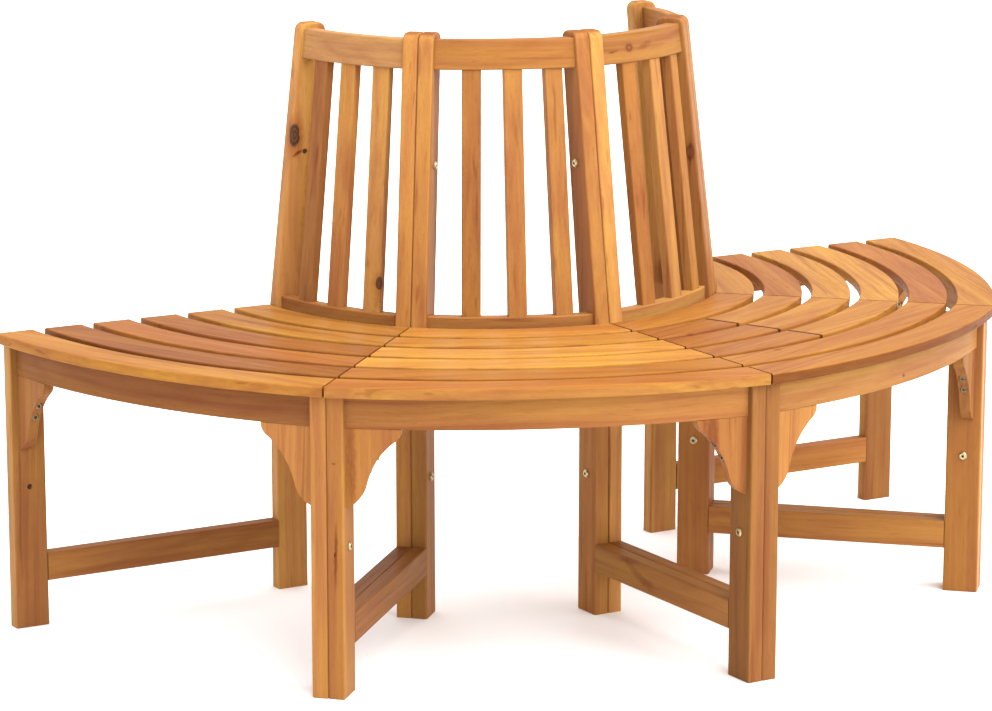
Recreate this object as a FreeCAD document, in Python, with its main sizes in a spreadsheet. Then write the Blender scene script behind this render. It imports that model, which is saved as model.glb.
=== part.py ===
import FreeCAD, Part
import math
import os
import Sketcher

# Half-round tree bench: four 45 degree modules bolted together leg to leg.
# Millimetres, +Z up.  The ring centre is at (0, RING_Y, 0), the flat side of
# the half ring faces +Y and the round seat edge faces -Y.  Joints are numbered
# 1 to 5 from the left end to the right end; module n lies between joints n
# and n+1.  In a joint's own frame X is the radius, Y the ring direction.

os.makedirs("parts", exist_ok=True)
V = FreeCAD.Vector
doc = FreeCAD.newDocument("TreeBench")
sheet = doc.addObject("Spreadsheet::Sheet", "Dims")


# ---------------------------------------------------------------- dimensions
class Q:
    """A number together with the cell expression that gives it."""

    def __init__(self, v, e):
        self.v = v
        self.e = e

    def _o(self, o):
        return o if isinstance(o, Q) else Q(float(o), repr(float(o)))

    def __add__(self, o):
        o = self._o(o)
        return Q(self.v + o.v, "(%s + %s)" % (self.e, o.e))

    __radd__ = __add__

    def __sub__(self, o):
        o = self._o(o)
        return Q(self.v - o.v, "(%s - %s)" % (self.e, o.e))

    def __mul__(self, o):
        o = self._o(o)
        return Q(self.v * o.v, "(%s * %s)" % (self.e, o.e))

    __rmul__ = __mul__

    def __truediv__(self, o):
        o = self._o(o)
        return Q(self.v / o.v, "(%s / %s)" % (self.e, o.e))

    def __neg__(self):
        return Q(-self.v, "(0 - %s)" % self.e)


row = [0]


def dim(alias, value, note=""):
    row[0] += 1
    sheet.set("A%d" % row[0], alias)
    sheet.set("B%d" % row[0], repr(round(float(value), 5)))
    sheet.setAlias("B%d" % row[0], alias)
    if note:
        sheet.set("C%d" % row[0], note)
    return Q(round(float(value), 5), "Dims." + alias)


def cosq(a):
    return Q(math.cos(math.radians(a.v)), "cos(%s)" % a.e)


def sinq(a):
    return Q(math.sin(math.radians(a.v)), "sin(%s)" % a.e)


RING_Y = 400.0                                   # ring centre behind the origin
module_angle = dim("module_angle", 45, "degrees of ring per module")
leg_thick = dim("leg_thick", 23.4, "leg board, along the ring")
leg_depth = dim("leg_depth", 52.0, "front leg, along the radius")
leg_back = dim("leg_back_radius", 736.2)
leg_high = dim("leg_height", 422.3, "underside of the seat slats")
post_depth = dim("post_depth", 49.4, "inner leg, along the radius")
post_bend = dim("post_bend_height", 430.0)
post_top = dim("post_top_height", 858.0)
post_round = dim("post_top_round", 13.0)
ease = dim("leg_edge_ease", 3.2)
small_ease = dim("board_edge_ease", 2.2)
fine_ease = dim("fine_edge_ease", 1.2)

inner_r = {}
top_front = {}
top_back = {}
pitch = {}
for k, (ri, tf, tb, pp) in enumerate((
        (359.6, 311.0, 269.0, 76.2),
        (374.5, 325.3, 282.8, 73.2),
        (388.1, 325.6, 285.0, 70.9),
        (374.5, 325.3, 282.8, 73.2),
        (359.6, 311.0, 269.0, 76.2)), 1):
    inner_r[k] = dim("inner_radius_joint%d" % k, ri, "front face of the inner leg")
    top_front[k] = dim("post_top_front_joint%d" % k, tf)
    top_back[k] = dim("post_top_back_joint%d" % k, tb)
    pitch[k] = dim("slat_pitch_joint%d" % k, pp)

stretch_low = dim("stretcher_bottom", 66.0)
stretch_high = dim("stretcher_width", 42.0)
bearer_low = dim("bearer_bottom", 377.0)
apron_front = dim("apron_front_radius", 778.0)
apron_thick = dim("apron_thick", 22.0)
slat_thick = dim("seat_slat_thick", 15.2)
slat_width = dim("seat_slat_width", 58.8)
slat_last = dim("outer_slat_centre_radius", 770.6)
end_gap = dim("slat_setback_inner_joint", 1.5)
free_gap = dim("slat_setback_free_end", 3.0)
seam_gap = dim("seam_half_gap", 1.4)
seam_off = dim("seam_offset", 36.0, "short slats of module c, off its axis")
rail_low = dim("bottom_rail_base", 404.0)
rail_high = dim("bottom_rail_width", 48.0)
rail_set = dim("bottom_rail_setback", 10.0)
rail_thick = dim("bottom_rail_thick", 21.0)
top_low = dim("top_rail_base", 806.0)
top_high = dim("top_rail_width", 43.5)
top_set = dim("top_rail_setback", 6.0)
top_thick = dim("top_rail_thick", 20.0)
rail_gap = dim("rail_end_gap", 0.15)
bslat_wide = dim("back_slat_width", 28.0)
bslat_thick = dim("back_slat_thick", 15.0)
brk_front = dim("bracket_front_radius", 776.5, "front edge where it meets the leg")
brk_thick = dim("bracket_thick", 16.0)
brk_turn = dim("bracket_turn", 6.5, "degrees, outer end set back under the curved apron")
hole_rad = dim("bolt_hole_radius", 4.1)
hole_front = dim("front_hole_radius_pos", 762.0)
hole_in = dim("inner_hole_from_face", 25.0)
hole_z = dim("lower_hole_height", 210.5)
hole_top_z = dim("post_hole_height", 667.0)
screw_hole = dim("screw_hole_radius", 2.6)
screw_bore = dim("screw_counterbore_radius", 5.6)
screw_sunk = dim("screw_head_sunk", 2.0, "head face below the curved edge")
cb_low = dim("centre_bearer_base", 390.0)
cb_wide = dim("centre_bearer_width", 30.0)

DIP = {1: (4.0, 4.3), 2: (4.5, 4.8), 3: (5.0, 5.3), 4: (5.6, 6.0), 5: (6.4, 7.0), 6: (7.6, 10.6)}


# ------------------------------------------------------------------- helpers
def joint_angle(k):
    return 180.0 + module_angle.v * (k - 1)


def at_joint(k, z=0.0, turn=0.0):
    return FreeCAD.Placement(V(0, RING_Y, z),
                             FreeCAD.Rotation(V(0, 0, 1), joint_angle(k) + turn))


def settle(*objs):
    """Recompute only these objects, in order."""
    sheet.recompute()
    for o in objs:
        o.recompute()


def plane_of(body, role):
    for f in body.Origin.OriginFeatures:
        if f.Role == role:
            return f
    raise RuntimeError("no plane " + role)


def new_body(name):
    b = doc.addObject("PartDesign::Body", name)
    b.Label = name
    return b


def arc_of(p0, pm, p1):
    """Counter-clockwise circle arc through three points, and whether p0 is its start."""
    ax, ay = p0
    bx, by = pm
    cx, cy = p1
    d = 2 * (ax * (by - cy) + bx * (cy - ay) + cx * (ay - by))
    ux = ((ax * ax + ay * ay) * (by - cy) + (bx * bx + by * by) * (cy - ay)
          + (cx * cx + cy * cy) * (ay - by)) / d
    uy = ((ax * ax + ay * ay) * (cx - bx) + (bx * bx + by * by) * (ax - cx)
          + (cx * cx + cy * cy) * (bx - ax)) / d
    r = math.hypot(ax - ux, ay - uy)
    ccw = (bx - ax) * (cy - ay) - (by - ay) * (cx - ax) > 0
    a0 = math.atan2(ay - uy, ax - ux)
    a1 = math.atan2(cy - uy, cx - ux)
    if not ccw:
        a0, a1 = a1, a0
    while a1 < a0:
        a1 += 2 * math.pi
    geo = Part.ArcOfCircle(Part.Circle(V(ux, uy, 0), V(0, 0, 1), r), a0, a1)
    return geo, ccw, r


def sketch_on(body, role, name, off=None):
    sk = body.newObject("Sketcher::SketchObject", name)
    sk.AttachmentSupport = (plane_of(body, role), [""])
    sk.MapMode = "FlatFace"
    if off is not None:
        sk.AttachmentOffset = FreeCAD.Placement(V(0, 0, off.v), FreeCAD.Rotation())
        sk.setExpression("AttachmentOffset.Base.z", off.e)
    return sk


def pin(sk, geo, pos, q, axis):
    """Bind one coordinate of a sketch vertex to the sheet."""
    kind = "DistanceX" if axis == 0 else "DistanceY"
    if abs(q.v) < 1e-9:
        sk.addConstraint(Sketcher.Constraint("PointOnObject", geo, pos, -2 if axis == 0 else -1))
        return
    if q.v > 0:
        i = sk.addConstraint(Sketcher.Constraint(kind, -1, 1, geo, pos, q.v))
        sk.setExpression("Constraints[%d]" % i, q.e)
    else:
        i = sk.addConstraint(Sketcher.Constraint(kind, geo, pos, -1, 1, -q.v))
        sk.setExpression("Constraints[%d]" % i, "0 - " + q.e)


def outline(sk, pts, mids=None, radii=None):
    """Closed outline through pts (pairs of Q); mids[i] makes edge i an arc."""
    mids = mids or {}
    radii = radii or {}
    n = len(pts)
    ends = []
    for i in range(n):
        a, b = pts[i], pts[(i + 1) % n]
        if i in mids:
            geo, ccw, r = arc_of((a[0].v, a[1].v), mids[i], (b[0].v, b[1].v))
            g = sk.addGeometry(geo, False)
            ends.append((g, 1 if ccw else 2, 2 if ccw else 1))
            rq = radii.get(i)
            if rq is None:
                raise RuntimeError("arc without a radius cell")
            c = sk.addConstraint(Sketcher.Constraint("Radius", g, r))
            sk.setExpression("Constraints[%d]" % c, rq(r).e)
        else:
            g = sk.addGeometry(Part.LineSegment(V(a[0].v, a[1].v, 0), V(b[0].v, b[1].v, 0)), False)
            ends.append((g, 1, 2))
    for i in range(n):
        j = (i + 1) % n
        sk.addConstraint(Sketcher.Constraint("Coincident", ends[i][0], ends[i][2],
                                             ends[j][0], ends[j][1]))
    for i in range(n):
        pin(sk, ends[i][0], ends[i][1], pts[i][0], 0)
        pin(sk, ends[i][0], ends[i][1], pts[i][1], 1)


def radius_cell(name):
    def make(r):
        return dim(name, r)
    return make


def pad(body, sk, length, reverse=False):
    p = body.newObject("PartDesign::Pad", body.Name + "_pad")
    p.Profile = sk
    p.Type = 0
    p.Reversed = reverse
    p.Length = length.v
    p.setExpression("Length", length.e)
    sk.Visibility = False
    settle(sk, p)
    return p


eased = []


def fillet(body, base, radius, keep, tag):
    """Round the edges of base that keep(edge) picks."""
    names = ["Edge%d" % (i + 1) for i, e in enumerate(base.Shape.Edges) if keep(e)]
    if not names:
        raise RuntimeError("nothing to round on " + body.Name)
    f = body.newObject("PartDesign::Fillet", body.Name + tag)
    f.Base = (base, names)
    for share in (1.0, 0.9, 0.8, 0.65, 0.5):
        # a slightly finer ease where the full one can't be built
        q = radius if share == 1.0 else radius * share
        f.Radius = q.v
        f.setExpression("Radius", q.e)
        settle(f)
        if not f.Shape.isNull() and f.Shape.isValid() and "Invalid" not in f.State \
                and abs(f.Shape.Volume) > 0.7 * base.Shape.Volume:
            eased.append((f, radius))
            return f
    body.removeObject(f)
    doc.removeObject(f.Name)
    body.Tip = base
    print("left sharp:", body.Name)
    return base


def tangent_at(e, frac):
    a, b = e.FirstParameter, e.LastParameter
    t = e.tangentAt(a + (b - a) * frac)
    return t


def local(base, body):
    return base


def along(e, axis):
    """True for a straight edge along one local axis."""
    t = tangent_at(e, 0.5)
    return abs(abs((t.x, t.y, t.z)[axis]) - 1.0) < 1e-4 and e.Curve.TypeId == "Part::GeomLine"


def on_board(k, side, q, z):
    """Point on a corner bracket's middle plane, q out from the leg, and the outward direction."""
    a = math.radians(joint_angle(k))
    w = math.radians(brk_turn.v)
    u = V(math.cos(a), math.sin(a), 0)
    t = V(-math.sin(a), math.cos(a), 0) * side
    out = t * math.cos(w) - u * math.sin(w)
    back = u * math.cos(w) + t * math.sin(w)
    pos = V(0, RING_Y, z) + u * brk_front.v + t * leg_thick.v - back * (brk_thick.v / 2) + out * q
    return pos, out


def bored(name, rad, high, k, side, q, z):
    """A cylinder along a corner bracket, from q outwards."""
    c = doc.addObject("Part::Cylinder", name)
    c.Radius = rad.v
    c.setExpression("Radius", rad.e)
    c.Height = high
    pos, out = on_board(k, side, q, z)
    c.Placement = FreeCAD.Placement(pos, FreeCAD.Rotation(V(0, 0, 1), out))
    return c


def cylinder(name, rad, high, k, r, y, z, flip=False):
    """A cylinder whose axis runs along the ring direction of joint k."""
    c = doc.addObject("Part::Cylinder", name)
    c.Radius = rad.v
    c.setExpression("Radius", rad.e)
    c.Height = high
    a = math.radians(joint_angle(k))
    u = V(math.cos(a), math.sin(a), 0)
    t = V(-math.sin(a), math.cos(a), 0)
    pos = V(0, RING_Y, 0) + u * r + t * y + V(0, 0, z)
    d = -t if flip else t
    c.Placement = FreeCAD.Placement(pos, FreeCAD.Rotation(V(0, 0, 1), d))
    return c


def drilled(name, body, tools):
    body.Label = body.Name
    tool = doc.addObject("Part::MultiFuse", name + "_drills") if len(tools) > 1 else tools[0]
    if len(tools) > 1:
        tool.Shapes = tools
    cut = doc.addObject("Part::Cut", name)
    cut.Base = body
    cut.Tool = tool
    cut.Label = name
    settle(body, *tools)
    if len(tools) > 1:
        tool.recompute()
    cut.recompute()
    if not cut.Shape.Volume < body.Shape.Volume - 100:
        raise RuntimeError("drilling removed nothing from " + name)
    return cut


def group(name, items):
    c = doc.addObject("Part::Compound", name)
    c.Links = items
    c.Label = name
    return c


def post_front(k, z):
    f = (z - post_bend) / (post_top - post_bend)
    return inner_r[k] - (inner_r[k] - top_front[k]) * f


nodes = []


def node(obj, name):
    obj.Label = name
    nodes.append((name, obj))


# ------------------------------------------------------- legs and side frames
zero = Q(0.0, "0")


def front_leg(name, k, side):
    b = new_body(name + "_board")
    sk = sketch_on(b, "XZ_Plane", name + "_outline")
    x0, x1 = leg_back, leg_back + leg_depth
    outline(sk, [(x0, zero), (x1, zero), (x1, leg_high), (x0, leg_high)])
    p = pad(b, sk, leg_thick, reverse=(side > 0))
    f = fillet(b, p, ease, lambda e: along(e, 2), "_ease")
    fillet(b, f, fine_ease, lambda e: e.BoundBox.ZMax < 0.01, "_foot")
    b.Placement = at_joint(k)
    th = leg_thick.v
    tools = [cylinder(name + "_bolt_hole", hole_rad, th + 4, k, hole_front.v, -side * 2, hole_z.v,
                      flip=(side < 0))]
    for i, z in enumerate(SCREW_Z):
        tools.append(bored(name + "_screw_hole%d" % (i + 1), screw_hole, 23.0, k, side, -20.0, z))
    return drilled(name, b, tools)


def back_post(name, k, side):
    b = new_body(name + "_board")
    sk = sketch_on(b, "XZ_Plane", name + "_outline")
    xb = inner_r[k] - post_depth
    outline(sk, [(xb, zero), (inner_r[k], zero), (inner_r[k], post_bend), (top_front[k], post_top),
                 (top_back[k], post_top), (xb, post_bend)])
    p = pad(b, sk, leg_thick, reverse=(side > 0))
    r = fillet(b, p, post_round,
               lambda e: along(e, 1) and e.BoundBox.ZMin > post_top.v - 1, "_top")
    f = fillet(b, r, ease, lambda e: not along(e, 1) and e.BoundBox.ZMax > 1, "_ease")
    b.Placement = at_joint(k)
    th = leg_thick.v
    zt = hole_top_z.v
    rt = post_front(k, hole_top_z).v - hole_in.v
    tools = [cylinder(name + "_low_hole", hole_rad, th + 4, k, inner_r[k].v - hole_in.v, -side * 2,
                      hole_z.v, flip=(side < 0)),
             cylinder(name + "_top_hole", hole_rad, th + 4, k, rt, -side * 2, zt, flip=(side < 0))]
    return drilled(name, b, tools)


def side_board(name, k, side, low, high, round_by):
    b = new_body(name)
    sk = sketch_on(b, "XZ_Plane", name + "_outline")
    outline(sk, [(inner_r[k], low), (leg_back, low), (leg_back, high), (inner_r[k], high)])
    p = pad(b, sk, leg_thick, reverse=(side > 0))
    fillet(b, p, round_by, lambda e: along(e, 0), "_ease")
    b.Placement = at_joint(k)
    return b


# ------------------------------------------------------------ curved boards
def arc_ends(ra, rb, ea, eb):
    """Ends of an arc in the module frame: on the left and right joint lines."""
    c, s = cosq(module_angle), sinq(module_angle)
    left = (ra, ea)
    right = (rb * c + eb * s, rb * s - eb * c)
    return left, right


def mid_point(ra, rb, dip):
    a = math.radians(module_angle.v / 2)
    r = (ra.v + rb.v) / 2 - dip
    return (r * math.cos(a), r * math.sin(a))


def curved_outline(sk, tag, inn, out, ea, eb, dip_in, dip_out):
    li, ri = arc_ends(inn[0], inn[1], ea, eb)
    lo, ro = arc_ends(out[0], out[1], ea, eb)
    outline(sk, [lo, ro, ri, li],
            {0: mid_point(out[0], out[1], dip_out), 2: tuple(mid_point(inn[0], inn[1], dip_in))},
            {0: radius_cell(tag + "_outer_arc"), 2: radius_cell(tag + "_inner_arc")})


def slat_radii(i, k):
    c = slat_last - pitch[k] * (6 - i)
    return c - slat_width / 2, c + slat_width / 2


def seat_slat(name, m, i):
    ea = free_gap if m == 1 else end_gap
    eb = free_gap if m == 4 else end_gap
    a, b2 = slat_radii(i, m), slat_radii(i, m + 1)
    b = new_body(name)
    sk = sketch_on(b, "XY_Plane", name + "_outline")
    curved_outline(sk, name, (a[0], b2[0]), (a[1], b2[1]), ea, eb, DIP[i][0], DIP[i][1])
    p = pad(b, sk, slat_thick)
    fillet(b, p, small_ease, lambda e: e.Curve.TypeId == "Part::GeomCircle", "_ease")
    b.Placement = at_joint(m, leg_high.v)
    return b


def split_slat(name, m, i):
    """A slat in two lengths that butt on a line beside the module's axis."""
    ra, rb = slat_radii(i, m), slat_radii(i, m + 1)
    half = math.radians(module_angle.v / 2)
    u = (math.cos(half), math.sin(half))
    t = (-math.sin(half), math.cos(half))
    edges = []
    for j, dip in ((0, DIP[i][0]), (1, DIP[i][1])):
        left, right = arc_ends(ra[j], rb[j], end_gap, end_gap)
        geo, ccw, r = arc_of((left[0].v, left[1].v), mid_point(ra[j], rb[j], dip),
                             (right[0].v, right[1].v))
        edges.append((left, right, geo.Center.x, geo.Center.y, r))
    out = []
    for tag, sign in (("_left", -1), ("_right", 1)):
        off = -seam_off.v + sign * seam_gap.v
        pts, mids = [], []
        for (left, right, cx, cy, r), word in zip(edges, ("inner", "outer")):
            # where the seam line meets this edge
            px, py = t[0] * off - cx, t[1] * off - cy
            bq = px * u[0] + py * u[1]
            d = -bq + math.sqrt(bq * bq - (px * px + py * py - r * r))
            x, y = t[0] * off + u[0] * d, t[1] * off + u[1] * d
            seam = (dim("%s%s_%s_x" % (name, tag, word), x), dim("%s%s_%s_y" % (name, tag, word), y))
            ends = (left, seam) if sign < 0 else (seam, right)
            a0 = math.atan2(ends[0][1].v - cy, ends[0][0].v - cx)
            a1 = math.atan2(ends[1][1].v - cy, ends[1][0].v - cx)
            am = (a0 + a1) / 2
            pts.append(ends)
            mids.append((cx + r * math.cos(am), cy + r * math.sin(am)))
        b = new_body(name + tag)
        sk = sketch_on(b, "XY_Plane", name + tag + "_outline")
        outline(sk, [pts[1][0], pts[1][1], pts[0][1], pts[0][0]], {0: mids[1], 2: mids[0]},
                {0: radius_cell(name + tag + "_outer_arc"), 2: radius_cell(name + tag + "_inner_arc")})
        p = pad(b, sk, slat_thick)
        fillet(b, p, small_ease, lambda e: e.Curve.TypeId == "Part::GeomCircle", "_ease")
        b.Placement = at_joint(m, leg_high.v)
        out.append(b)
    return out


def front_apron(name, m):
    b = new_body(name)
    sk = sketch_on(b, "XY_Plane", name + "_outline")
    inn = apron_front - apron_thick
    curved_outline(sk, name, (inn, inn), (apron_front, apron_front), leg_thick, leg_thick, 8.0, 8.0)
    p = pad(b, sk, leg_high - bearer_low)
    fillet(b, p, small_ease, lambda e: e.Curve.TypeId == "Part::GeomCircle" and e.BoundBox.ZMax < 1,
           "_ease")
    b.Placement = at_joint(m, bearer_low.v)
    return b


def bottom_rail(name, m):
    b = new_body(name)
    sk = sketch_on(b, "XY_Plane", name + "_outline")
    out = (inner_r[m] - rail_set, inner_r[m + 1] - rail_set)
    inn = (out[0] - rail_thick, out[1] - rail_thick)
    curved_outline(sk, name, inn, out, leg_thick, leg_thick, 3.5, 4.0)
    p = pad(b, sk, rail_high)
    fillet(b, p, small_ease, lambda e: e.Curve.TypeId == "Part::GeomCircle", "_ease")
    b.Placement = at_joint(m, rail_low.v)
    return b


def top_rail(name, m):
    """A coned board: its section turned about the arc's own axis, cut to length at both posts."""
    zl, zh = top_low, top_low + top_high
    ra, rb = post_front(m, zl) - top_set, post_front(m + 1, zl) - top_set
    left, right = arc_ends(ra, rb, leg_thick, leg_thick)
    geo, ccw, rad = arc_of((left[0].v, left[1].v), mid_point(ra, rb, 3.0), (right[0].v, right[1].v))
    cx, cy = geo.Center.x, geo.Center.y
    rq = dim(name + "_low_arc", rad)
    lean = ((post_front(m, zl) - post_front(m, zh)) + (post_front(m + 1, zl) - post_front(m + 1, zh))) / 2
    b = new_body(name + "_board")
    sk = sketch_on(b, "XZ_Plane", name + "_section")
    outline(sk, [(rq - top_thick, zero), (rq, zero), (rq - lean, top_high),
                 (rq - lean - top_thick, top_high)])
    rv = b.newObject("PartDesign::Revolution", name + "_turn")
    rv.Profile = sk
    rv.ReferenceAxis = (sk, ["V_Axis"])
    rv.Angle = 70
    settle(sk, rv)
    fillet(b, rv, small_ease, lambda e: e.BoundBox.ZLength < 1 and e.Curve.TypeId == "Part::GeomCircle",
           "_ease")
    # the turned board starts 12 degrees before the module's left joint line
    turn0 = joint_angle(m)
    a = math.radians(turn0)
    gx = cx * math.cos(a) - cy * math.sin(a)
    gy = cx * math.sin(a) + cy * math.cos(a)
    sense = 1 if rv.Shape.BoundBox.YMax > 1 else -1
    start = turn0 - 12 if sense > 0 else turn0 - 12 + 70
    b.Placement = FreeCAD.Placement(V(gx, RING_Y + gy, zl.v), FreeCAD.Rotation(V(0, 0, 1), start))
    w = new_body(name + "_length")
    ws = sketch_on(w, "XY_Plane", name + "_wedge")
    near, far = Q(200.0, "200"), Q(420.0, "420")
    c, sn = cosq(module_angle), sinq(module_angle)
    e1 = leg_thick + rail_gap
    pts = [(near, e1), (far, e1), (far * c + e1 * sn, far * sn - e1 * c),
           (near * c + e1 * sn, near * sn - e1 * c)]
    outline(ws, pts)
    pad(w, ws, top_high + 20)
    w.Placement = at_joint(m, zl.v - 10)
    cm = doc.addObject("Part::Common", name)
    cm.Base = b
    cm.Tool = w
    settle(b, w, cm)
    return cm


BACK_SLAT_AT = {1: (12.6, 23.2, 34.1), 2: (13.65, 24.4, 35.25), 3: (13.9, 25.3, 36.4),
                4: (12.2, 22.7, 33.6)}


def back_slat(name, m, deg):
    """An upright slat that leans with the posts, at deg from the module's left joint."""
    share = deg / module_angle.v
    b = new_body(name)
    z0 = rail_low + rail_high
    half = bslat_thick / 2
    ends = []
    for z, st, thk, dip in ((z0, rail_set, rail_thick, 3.75), (top_low, top_set, top_thick, 3.0)):
        if z is z0:
            fa, fb = inner_r[m], inner_r[m + 1]
        else:
            fa, fb = post_front(m, z), post_front(m + 1, z)
        bow = dip * (1 - ((share - 0.5) * 2) ** 2)
        ends.append(fa * (1 - share) + fb * share - st - thk / 2 - bow)
    sk = sketch_on(b, "XZ_Plane", name + "_side", bslat_wide / 2)
    rise = top_low - z0
    outline(sk, [(ends[0] - half, zero), (ends[0] + half, zero),
                 (ends[1] + half, rise), (ends[1] - half, rise)])
    p = pad(b, sk, bslat_wide, reverse=True)
    fillet(b, p, small_ease, lambda e: e.BoundBox.ZLength > 100, "_ease")
    b.Placement = at_joint(m, z0.v, deg)
    return b


# ------------------------------------------------------------------ brackets
BP = [(0.0, 377.0), (76.0, 377.0), (65.5, 358.5), (27.0, 298.0), (0.0, 266.5)]
BM = {1: (73.6, 366.8), 2: (41.5, 331.5), 3: (17.2, 277.8)}
SCREW_Z = (338.5, 320.0)
SCREW_S = (47.0, 36.5)
for i, (s, z) in enumerate(BP[1:], 1):
    dim("bracket_point%d_out" % i, max(s, 0.001))
    dim("bracket_point%d_height" % i, z)
brk_arc = {}
for i in BM:
    a, b2 = BP[i], BP[i + 1]
    brk_arc[i] = dim("bracket_arc%d_radius" % i, arc_of(a, BM[i], b2)[2])


def bracket(name, k, side):
    b = new_body(name + "_board")
    sk = sketch_on(b, "YZ_Plane", name + "_outline", -brk_thick)
    pts = []
    for i, (s, z) in enumerate(BP):
        y = zero if i == 0 or s == 0 else Q(s, "Dims.bracket_point%d_out" % i)
        zq = bearer_low if i == 0 else Q(z, "Dims.bracket_point%d_height" % i)
        pts.append((y if side > 0 else -y, zq))
    mids = {i: (side * BM[i][0], BM[i][1]) for i in BM}
    radii = {i: (lambda r, q=brk_arc[i]: q) for i in BM}
    outline(sk, pts, mids, radii)
    p = pad(b, sk, brk_thick)
    fillet(b, p, fine_ease,
           lambda e: not along(e, 0) and not along(e, 1) and not along(e, 2), "_ease")
    u = at_joint(k).Rotation.multVec(V(1, 0, 0))
    t = at_joint(k).Rotation.multVec(V(0, 1, 0))
    b.Placement = FreeCAD.Placement(V(0, RING_Y, 0) + u * brk_front.v + t * (side * leg_thick.v),
                                    FreeCAD.Rotation(V(0, 0, 1), joint_angle(k) + side * brk_turn.v))
    # the board's end is cut flush with the leg's face
    flush = doc.addObject("Part::Box", name + "_flush")
    flush.Length, flush.Width, flush.Height = 60.0, 12.0, 160.0
    flush.Placement = FreeCAD.Placement(
        V(0, RING_Y, 240) + u * (brk_front.v - 40)
        + t * (side * leg_thick.v - (12.0 if side > 0 else 0.0)), at_joint(k).Rotation)
    tools = [flush]
    for i, (z, s) in enumerate(zip(SCREW_Z, SCREW_S)):
        sunk = s - screw_sunk.v
        tools.append(bored(name + "_hole%d" % (i + 1), screw_hole, sunk + 4, k, side, -4.0, z))
        tools.append(bored(name + "_bore%d" % (i + 1), screw_bore, 60, k, side, sunk - 6.5, z))
    return drilled(name, b, tools)


# ---------------------------------------------------------------- fasteners
def turned(name, prof, hex_af, hex_top, hex_deep, bore=None):
    """Round piece on Z from a half section, with a hexagon socket from hex_top down."""
    b = new_body(name)
    sk = sketch_on(b, "XZ_Plane", name + "_section")
    n = len(prof)
    for i in range(n):
        a, c = prof[i], prof[(i + 1) % n]
        sk.addGeometry(Part.LineSegment(V(a[0].v, a[1].v, 0), V(c[0].v, c[1].v, 0)), False)
    for i in range(n):
        sk.addConstraint(Sketcher.Constraint("Coincident", i, 2, (i + 1) % n, 1))
    for i in range(n):
        pin(sk, i, 1, prof[i][0], 0)
        pin(sk, i, 1, prof[i][1], 1)
    rv = b.newObject("PartDesign::Revolution", name + "_turn")
    rv.Profile = sk
    rv.ReferenceAxis = (sk, ["V_Axis"])
    rv.Angle = 360
    settle(sk, rv)
    hx = sketch_on(b, "XY_Plane", name + "_socket_outline", hex_top)
    rr = hex_af.v / math.sqrt(3)
    pts = [V(rr * math.cos(math.radians(60 * i)), rr * math.sin(math.radians(60 * i)), 0)
           for i in range(6)]
    for i in range(6):
        hx.addGeometry(Part.LineSegment(pts[i], pts[(i + 1) % 6]), False)
    for i in range(6):
        hx.addConstraint(Sketcher.Constraint("Coincident", i, 2, (i + 1) % 6, 1))
    for i in range(6):
        q = hex_af / math.sqrt(3)
        pin(hx, i, 1, q * round(math.cos(math.radians(60 * i)), 9), 0)
        pin(hx, i, 1, q * round(math.sin(math.radians(60 * i)), 9), 1)
    before = rv.Shape.Volume
    pk = b.newObject("PartDesign::Pocket", name + "_socket")
    pk.Profile = hx
    pk.Type = 0
    pk.Length = hex_deep.v
    pk.setExpression("Length", hex_deep.e)
    settle(hx, pk)
    if not pk.Shape.Volume < before - 1:
        raise RuntimeError("socket missing on " + name)
    return b


def set_along(obj, k, r, y, z, direction):
    """Put a turned piece on the ring direction of joint k, its Z towards direction."""
    a = math.radians(joint_angle(k))
    u = V(math.cos(a), math.sin(a), 0)
    t = V(-math.sin(a), math.cos(a), 0)
    pos = V(0, RING_Y, 0) + u * r + t * y + V(0, 0, z)
    obj.Placement = FreeCAD.Placement(pos, FreeCAD.Rotation(V(0, 0, 1), t * direction))


head_r = dim("bolt_head_radius", 6.2)
head_z = dim("bolt_head_height", 3.2)
head_c = dim("bolt_head_crown_radius", 4.7)
shank_r = dim("bolt_shank_radius", 3.0)
shank_z = dim("bolt_shank_length", 40.0)
key_af = dim("bolt_key_across_flats", 4.0)
key_z = dim("bolt_key_depth", 1.7)
nut_r = dim("nut_sleeve_radius", 4.0)
nut_z = dim("nut_sleeve_length", 16.0)
nut_bore = dim("nut_bore_radius", 3.05)
scr_head = dim("screw_head_radius", 5.3)
scr_head_z = dim("screw_head_length", 6.0)
scr_r = dim("screw_shank_radius", 2.5)
scr_key = dim("screw_key_across_flats", 4.0)
scr_key_z = dim("screw_key_depth", 2.4)


def joint_bolt(name):
    low = head_z * 0.45
    return turned(name, [(zero, -shank_z), (shank_r, -shank_z), (shank_r, zero), (head_r, zero),
                         (head_r, low), (head_c, head_z), (zero, head_z)], key_af, head_z, key_z)


def joint_nut(name):
    low = head_z * 0.45
    return turned(name, [(nut_bore, -nut_z), (nut_r, -nut_z), (nut_r, zero), (head_r, zero),
                         (head_r, low), (head_c, head_z), (nut_bore, head_z)],
                  dim(name + "_key_across_flats", 6.6), head_z, key_z)


def bracket_screw(name, length):
    return turned(name, [(zero, -length), (scr_r, -length), (scr_r, -scr_head_z),
                         (scr_head, -scr_head_z), (scr_head, -(scr_head_z * 0.08)),
                         (scr_head * 0.9, zero), (zero, zero)], scr_key, zero, scr_key_z)


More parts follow.
